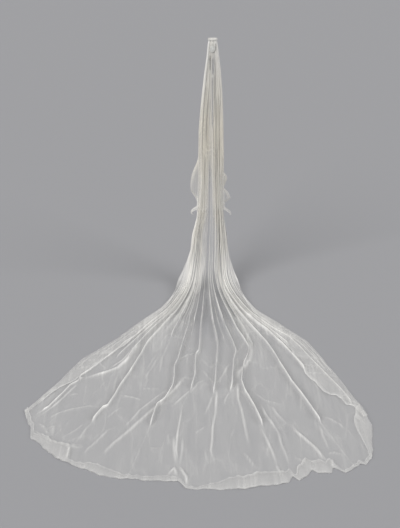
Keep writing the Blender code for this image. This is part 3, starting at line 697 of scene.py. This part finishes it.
def longPlaces():
    data = longLayer
    q, base, wave, line, lean = longGrid()
    rows = len(base)
    first = data["fallRows"] + data["sweepRows"]
    addCreases(base, wave, line, first)
    # low swells along and across the train
    x, y = base[first:, :, 0], base[first:, :, 1]
    angle, reach = np.arctan2(x, -y), np.hypot(x, y)
    swell = 0.5 + 0.25 * np.sin(angle * 31.0 + reach * 2.3) + 0.15 * np.sin(angle * 53.0 - reach * 4.1 + 1.7)
    swell = swell + 0.10 * np.sin(reach * 19.0 + angle * 7.0)
    wave[first:] += data["swell"] * swell * smooth((reach - 0.6) / 0.5)
    acrossWay, downWay = np.gradient(base, axis=1), np.gradient(base, axis=0)
    acrossWay /= np.linalg.norm(acrossWay, axis=2, keepdims=True)
    out = -np.cross(acrossWay, downWay)
    out /= np.linalg.norm(out, axis=2, keepdims=True)
    places = base + out * wave[..., None] + acrossWay * lean[..., None]
    swept = (np.arange(rows) - data["fallRows"]) / data["sweepRows"]
    swept = smooth((swept - data["turnStart"]) / (1.0 - data["turnStart"]))
    left, leftMarks = sideTurn(base[:, 0], out[:, 0], -acrossWay[:, 0], swept, -1, "turnLeft")
    right, rightMarks = sideTurn(base[:, -1], out[:, -1], acrossWay[:, -1], swept, 1, "turnRight")
    places = np.concatenate([left, places, right], axis=1)
    line = np.concatenate([leftMarks, line, rightMarks], axis=1)
    places = np.concatenate([places, hemTurn(places)], axis=0)
    extra = np.zeros((data["hemRows"], places.shape[1]))
    extra[-1] = 0.26
    line = np.concatenate([line, extra], axis=0)
    line[rows - 1] = np.maximum(line[rows - 1], 0.14)
    places[..., 2] = np.maximum(places[..., 2], clothLevel)
    return places, line, first


def sweptStrands(rows, wide, first):
    # the same lines where the folds sweep out over the floor, dying away along the train, with the same thinner cover
    # and painted shade
    row = np.arange(rows)
    shown = smooth((row - longLayer["fallRows"]) / 12.0) * (1.0 - smooth((row - first + 12.0) / 40.0))
    return smooth((streaks(rows, wide, 34.0, 2.6, 83) - 0.52) / 0.35) * shown[:, None] * 0.8


def addLongLayer(material):
    data = longLayer
    places, line, first = longPlaces()
    rows, wide = places.shape[:2]
    across, along = spans(places)
    flat = slice(first + data["flatRows"][0], first + data["flatRows"][1])
    gathered = smoothAcross(np.median(across[flat], axis=0)[None, :] / np.maximum(across, 1e-5))
    # on the floor only some of the gathering shows
    down = np.arange(rows)[:, None]
    kept = 1.0 - 0.8 * smooth((down - data["fallRows"] - 10.0) / (data["sweepRows"] + 20.0))
    gathered = 1.0 + (gathered - 1.0) * kept
    # the folds at both sides stay bunched for longer
    fold, share, gathers = longColumns()
    edges = (wide - len(fold)) // 2
    q = np.pad(fold + share, edges, mode="edge")
    profile = np.pad(gatherProfile(fold, share, gathers), edges)
    bunched = smooth((data["bunched"][0] - q) / 2.0) + smooth((q - data["bunched"][1]) / 2.0)
    swept = smooth((down - data["fallRows"]) / 20.0) * (1.0 - smooth((down - first) / 48.0))
    gathered = gathered + data["bunchedMore"] * bunched[None, :] * swept
    # the side edges of the sweep hang in fewer gathers
    column = np.arange(wide)
    inward = smooth((np.minimum(column, wide - 1 - column) - 8.0) / 45.0)[None, :]
    fewer = 1.0 - 0.8 * (1.0 - inward) * smooth((down - 0.6 * data["fallRows"]) / 15.0)
    gathered = 1.0 + (gathered - 1.0) * fewer
    opened = gapsAt(places)
    deep = strands(places)
    line = np.maximum(line, 0.40 * crinkles(places))
    line = line * (1.0 - 0.75 * opened * (places[..., 2] > -1.45)) * (1.0 - 0.8 * deep)
    deep = np.maximum(deep, sweptStrands(rows, wide, first) * (1.0 - np.clip(line * 2.5, 0.0, 1.0)))
    # single strands cross the opening
    crossing = np.maximum(0.80 * bell((q - np.rint(q)) / 0.08), 0.60 * smooth((profile - 0.78) / 0.12))
    line = np.maximum(line, crossing[None, :] * opened * smooth((down - 0.65 * data["fallRows"]) / 8.0))
    cover = coverOf(gathered * (1.0 - 0.9 * opened) * (1.0 - 0.6 * deep))
    cover = 1.0 - (1.0 - cover) * (1.0 - np.clip(line, 0.0, 0.97))
    # the weave runs straight down the train and gathers up the fall
    u = places[..., 0].copy()
    u[:first] = u[first]
    v = np.cumsum(along.mean(axis=1))[:, None].repeat(wide, axis=1)
    warmth = np.clip(1.0 - np.arange(rows) / first, 0.0, 1.0)[:, None].repeat(wide, axis=1) * data["warmth"]
    # the shade mark is painted shade for the base colour
    marks = {"cover": cover, "warmth": warmth, "shade": shadeOf(places, deep, opened)}
    return sheetObject("longLayer", places, marks, np.stack([u, v], axis=2), material)


# Short layer

shortLayer = {
    "gathers": 46, "columnsEach": 8, "rows": 150, "hem": 1.075, "sideHem": 1.160, "hemPower": 3.0, "clear": 0.0008,
    "cutWidth": 0.95, "loopFrom": 11 / 16, "thinner": 0.6,
    # loops of its side edges: side, drop, length above and below that, degrees
    "loops": [
        (-1, 0.955, 0.260, 0.125, 104.0), (-1, 1.130, 0.060, 0.075, 80.0),
        (1, 0.900, 0.070, 0.110, 66.0), (1, 1.035, 0.110, 0.045, 88.0), (1, 1.145, 0.070, 0.055, 86.0),
    ],
}


def addShortLayer(material):
    data = shortLayer
    count = data["gathers"] * data["columnsEach"] + 1
    even = np.linspace(-1.0, 1.0, count)
    rows = data["rows"]
    places = np.zeros((rows, count, 3))
    line = np.zeros((rows, count))
    free = np.abs(even) > data["loopFrom"]
    bottom = data["hem"] + (data["sideHem"] - data["hem"]) * np.abs(even) ** data["hemPower"]
    bottom = bottom + np.where(free, 0.0, 0.012 * np.sin(even * 19.0) + 0.008 * np.sin(even * 47.0 + 1.0))
    phase = (even + 1.0) / 2.0 * data["gathers"]
    fold = np.clip(phase.astype(int), 0, data["gathers"] - 1)
    tall = rng.uniform(0.65, 1.0, data["gathers"])[fold]
    profile = 0.5 - 0.5 * np.cos(2.0 * math.pi * phase)
    drawn = streaks(rows, count, 26.0, 6.0, 47)
    for row in range(rows):
        s = row / (rows - 1)
        drops = firstDrop + (bottom - firstDrop) * s ** 1.1
        middle = float(np.median(drops))
        ring = ringAt(middle)
        # the gathers wander a little as they come down
        wander = (0.010 * np.sin(even * 9.0 + s * 7.0) + 0.006 * np.sin(even * 23.0 - s * 13.0)) * smooth(s * 4.0)
        share = np.clip(np.where(free, even, even + wander), -1.0, 1.0)
        crest = ringPoints(middle, share, data["clear"] / 2.0, 0.0)
        valley = ringPoints(middle, share, ring["shortRoom"] - data["clear"], 0.0)
        spot = valley + (crest - valley) * (profile * tall)[:, None]
        spot[:, 2] = -drops
        for side in (-1, 1):
            turn = np.zeros(count)
            for loopSide, drop, above, below, degrees in data["loops"]:
                if loopSide == side:
                    away = np.minimum(np.abs(drops - drop) / np.where(drops < drop, above, below), 1.0)
                    turn = np.maximum(turn, math.radians(degrees) * np.cos(away * math.pi / 2.0) ** 1.3)
            root = ringPoints(middle, np.array([data["loopFrom"] * side]), 0.0, 0.0)[0]
            swung = even * side > data["loopFrom"]
            x, y = spot[:, 0] - root[0], spot[:, 1] - root[1]
            angle = -side * turn
            spot[:, 0] = np.where(swung, root[0] + x * np.cos(angle) - y * np.sin(angle), spot[:, 0])
            spot[:, 1] = np.where(swung, root[1] + x * np.sin(angle) + y * np.cos(angle), spot[:, 1])
        places[row] = spot
        line[row] = (0.05 + 0.80 * drawn[row] ** 2.5) * profile ** 3 * np.where(free, 0.25, 1.0)
    line[:, :2] = 0.50
    line[:, -2:] = 0.50
    line[-1] = np.where(free, 0.40, np.maximum(line[-1], 0.08))
    across, along = spans(places)
    u = np.cumsum(across.mean(axis=0))
    u *= data["cutWidth"] / u[-1]
    level = np.linalg.norm(np.gradient(places[..., :2], axis=1), axis=2)
    gathered = smoothAcross(np.gradient(u)[None, :] / np.maximum(level, 1e-5))
    gathered *= 0.75 + 0.5 * streaks(rows, count, 40.0, 14.0, 53)
    gathered[:, free] = np.minimum(gathered[:, free], 1.5)
    opened = np.where(free[None, :], 0.0, gapsAt(places))
    line = np.maximum(line, 0.50 * crinkles(places) * ~free[None, :]) * (1.0 - 0.85 * opened)
    thinner = data["thinner"] * smooth((np.linspace(0.0, 1.0, rows) - 0.72) / 0.28)[:, None] * ~free[None, :]
    line *= 1.0 - thinner
    deep = strands(places) * ~free[None, :]
    line *= 1.0 - 0.8 * deep
    cover = coverOf(gathered * (1.0 - 0.9 * opened) * (1.0 - thinner) * (1.0 - 0.6 * deep))
    cover = 1.0 - (1.0 - cover) * (1.0 - line)
    v = np.cumsum(along.mean(axis=1))[:, None].repeat(count, axis=1)
    warmth = np.exp(-((np.linspace(0.0, 1.1, rows) - 0.65) / 0.3) ** 2)[:, None].repeat(count, axis=1)
    # the shade mark is painted shade for the base colour
    marks = {"cover": cover, "warmth": warmth, "shade": shadeOf(places, deep, opened)}
    return sheetObject("shortLayer", places, marks, np.stack([u[None, :].repeat(rows, axis=0), v], axis=2), material)


# Crown band

band = {"halfWidth": 0.0290, "halfDepth": 0.0185, "shift": -0.0030, "height": 0.012, "wall": 0.002, "stitches": 56}


bindingLook = {
    "name": "binding", "colour": (0.66, 0.65, 0.62), "roughness": 0.6, "sheen": 0.2,
    "dark": (0.52, 0.51, 0.48), "light": (0.70, 0.69, 0.65),
    "clouds": (60.0, 3.0), "weave": (900.0, 2.0), "bump": (0.4, 0.0006),
}
threadLook = {
    "name": "tacking", "colour": (0.62, 0.62, 0.60), "roughness": 0.7, "sheen": 0.0,
    "dark": (0.50, 0.50, 0.48), "light": (0.72, 0.72, 0.69),
    "clouds": (500.0, 2.0), "weave": (500.0, 2.0), "bump": (0.5, 0.0005),
}


def wovenFinish(look):
    finish = Finish(look["name"], look["colour"], look["roughness"], Sheen_Weight=look["sheen"])
    spot = finish.place((1.0, 1.0, 1.0))
    finish.set("Base Color", finish.mix(finish.noise(spot, *look["clouds"]), look["dark"], look["light"]))
    finish.bump(finish.noise(spot, *look["weave"]), *look["bump"])
    return finish.material


def addBand(material):
    # a folded tape: its section is a flat oval, spun round and drawn out to the band's oval
    data = band
    shape = bmesh.new()
    section = []
    for k in range(16):
        angle = 2.0 * math.pi * k / 16
        x = math.copysign(abs(math.cos(angle)) ** 0.5, math.cos(angle)) * data["wall"] / 2.0
        z = math.copysign(abs(math.sin(angle)) ** 0.6, math.sin(angle)) * data["height"] / 2.0
        section.append(shape.verts.new((1.0 + x, 0.0, z - data["height"] / 2.0)))
    edges = [shape.edges.new((section[k], section[(k + 1) % 16])) for k in range(16)]
    bmesh.ops.spin(shape, geom=section + edges, cent=(0, 0, 0), axis=(0, 0, 1), dvec=(0, 0, 0),
                   angle=2.0 * math.pi, steps=96, use_merge=True)
    bmesh.ops.remove_doubles(shape, verts=shape.verts, dist=1e-5)
    middleWidth = data["halfWidth"] - data["wall"] / 2.0
    middleDepth = data["halfDepth"] - data["wall"] / 2.0
    for vert in shape.verts:
        radius = math.hypot(vert.co.x, vert.co.y)
        angle = math.atan2(vert.co.y, vert.co.x)
        proud = radius - 1.0
        ripple = 0.0003 * math.sin(angle * 34.0) * (1.0 if proud > 0 else 0.0)
        vert.co.x = data["shift"] + (middleWidth + proud + ripple) * math.cos(angle)
        vert.co.y = (middleDepth + proud + ripple) * math.sin(angle)
    bmesh.ops.recalc_face_normals(shape, faces=shape.faces)
    return newObject("crownBand", shape, material)


def addStitches(material):
    # small stitches through the band, slanting a little
    data = band
    shape = bmesh.new()
    for k in range(data["stitches"]):
        angle = 2.0 * math.pi * k / data["stitches"]
        for level in (-0.0030, -0.0095):
            made = bmesh.ops.create_uvsphere(shape, u_segments=8, v_segments=5, radius=1.0)["verts"]
            slant = Matrix.Rotation(0.35, 4, "X")
            size = Matrix.Diagonal((0.00035, 0.0011, 0.0003, 1.0))
            place = Vector((data["shift"] + data["halfWidth"] * math.cos(angle), data["halfDepth"] * math.sin(angle), level))
            normal = math.atan2(math.sin(angle) / data["halfDepth"], math.cos(angle) / data["halfWidth"])
            matrix = Matrix.Translation(place) @ Matrix.Rotation(normal, 4, "Z") @ slant @ size
            bmesh.ops.transform(shape, matrix=matrix, verts=made)
    return newObject("bandStitches", shape, material)


# Tacked patch: a small pad wound over with thread

patch = {"across": -0.0055, "drop": 0.0625, "halfWidth": 0.016, "halfHeight": 0.020, "thick": 0.0024, "threads": 15, "thread": 0.0006}


def patchFront(x, z):
    # how far forward the pad's face is at a place across it, x and z from -1 to 1
    ring = ringAt(patch["drop"] - z * patch["halfHeight"])
    across = patch["across"] + x * patch["halfWidth"]
    turned = min(abs(across - ring["shift"]) / ring["halfWidth"], 0.98)
    front = -ring["halfDepth"] * math.sqrt(1.0 - turned * turned)
    dome = math.sqrt(max(0.0, 1.0 - x * x - z * z))
    return across, front - 0.0008 - patch["thick"] * (0.5 + 0.5 * dome), z * patch["halfHeight"] - patch["drop"]


def addPatch(material):
    shape = bmesh.new()
    bmesh.ops.create_uvsphere(shape, u_segments=32, v_segments=20, radius=1.0)
    for vert in shape.verts:
        x, z, y = vert.co.x, vert.co.z, vert.co.y
        across, front, level = patchFront(x * 0.985, z * 0.985)
        ring = ringAt(-level)
        turned = min(abs(across - ring["shift"]) / ring["halfWidth"], 0.98)
        back = -ring["halfDepth"] * math.sqrt(1.0 - turned * turned) - 0.0008
        share = 0.5 - 0.5 * y
        vert.co = (across, back * (1.0 - share) + front * share, level)
    return newObject("tackedPad", shape, material)


def addWinding(material):
    # threads laid both ways over the pad, each a thin tube along its face
    shape = bmesh.new()
    upright = Matrix(((0, 0, 1, 0), (1, 0, 0, 0), (0, 1, 0, 0), (0, 0, 0, 1)))   # x to y, y to z, z to x
    for way in (0, 1, 2):
        for k in range(patch["threads"]):
            c = -0.92 + 1.84 * k / (patch["threads"] - 1) + rng.uniform(-0.03, 0.03)
            turn = (0.15, 1.15, -0.9)[way] + rng.uniform(-0.06, 0.06)
            half = math.sqrt(max(0.02, 1.0 - c * c))
            before = []
            for i in range(11):
                t = (i / 10.0 * 2.0 - 1.0) * half * 0.98
                x = t * math.cos(turn) - c * math.sin(turn)
                z = t * math.sin(turn) + c * math.cos(turn)
                a, b, h = patchFront(x, z)
                lift = 0.0002 + 0.0004 * way
                place = Matrix.Translation((a, b - lift, h)) @ Matrix.Rotation(-turn, 4, "Y") @ upright
                capped = i in (0, 10)
                ring = bmesh.ops.create_circle(shape, cap_ends=capped, segments=6, radius=patch["thread"], matrix=place)
                edges = list({edge for vert in ring["verts"] for edge in vert.link_edges})
                if before:
                    bmesh.ops.bridge_loops(shape, edges=before + edges)
                before = edges
    bmesh.ops.recalc_face_normals(shape, faces=shape.faces)
    return newObject("padWinding", shape, material)


# Floor, light and camera

stageLook = {"floor": (0.32, 0.32, 0.33), "sky": (0.53, 0.53, 0.545), "skyStrength": 0.60}


def addStage():
    shape = bmesh.new()
    bmesh.ops.create_grid(shape, x_segments=1, y_segments=1, size=40.0)
    for vert in shape.verts:
        vert.co.z = floorLevel - 0.0006
    finish = Finish("floorPaint", stageLook["floor"], 0.85)
    floor = newObject("floor", shape, finish.material)
    world = bpy.data.worlds.new("studio")
    world.use_nodes = True
    background = world.node_tree.nodes["Background"]
    background.inputs["Color"].default_value = (*stageLook["sky"], 1.0)
    background.inputs["Strength"].default_value = stageLook["skyStrength"]
    bpy.context.scene.world = world


def addSun(name, height, bearing, softness, strength):
    # height above the floor and bearing from the train's hem, in degrees
    light = bpy.data.lights.new(name, "SUN")
    light.angle = math.radians(softness)
    light.energy = strength
    thing = linked(name, light)
    turn, rise = math.radians(bearing), math.radians(height)
    place = Vector((math.sin(turn) * math.cos(rise), -math.cos(turn) * math.cos(rise), math.sin(rise)))
    thing.rotation_euler = place.to_track_quat("Z", "Y").to_euler()


def addCamera():
    camera = bpy.data.cameras.new("camera")
    camera.sensor_width = 36.0
    camera.lens = 974.0 * camera.sensor_width / 528.0   # the picture is 528 high
    thing = linked("camera", camera)
    thing.location = (-0.080, -6.0, 2.5 + floorLevel)
    thing.rotation_euler = (math.radians(90.0 - 21.59), 0.0, 0.0)
    bpy.context.scene.camera = thing


addCamera()
addStage()
addSun("leftSoft", 30.0, -38.0, 35.0, 2.35)
addSun("rightSoft", 34.0, 62.0, 35.0, 1.40)
addSun("overhead", 80.0, 10.0, 50.0, 0.35)
print("stage ready")

tulleMaterial = tulleFinish()
binding = wovenFinish(bindingLook)
thread = wovenFinish(threadLook)

longSheet = addLongLayer(tulleMaterial)
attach(longSheet, "root")
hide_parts("long_layer")
shortSheet = addShortLayer(tulleMaterial)
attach(shortSheet, "root")
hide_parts("short_layer")
crown = addBand(binding)
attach(crown, "root")
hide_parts("gather_band")
stitches = addStitches(thread)
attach(stitches, "root")
pad = addPatch(thread)
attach(pad, "root")
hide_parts("tacked_patch")
winding = addWinding(thread)
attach(winding, "root")
print("veil dressed")

bpy.context.scene.cycles.transparent_max_bounces = 96
bpy.context.scene.view_settings.view_transform = "Standard"
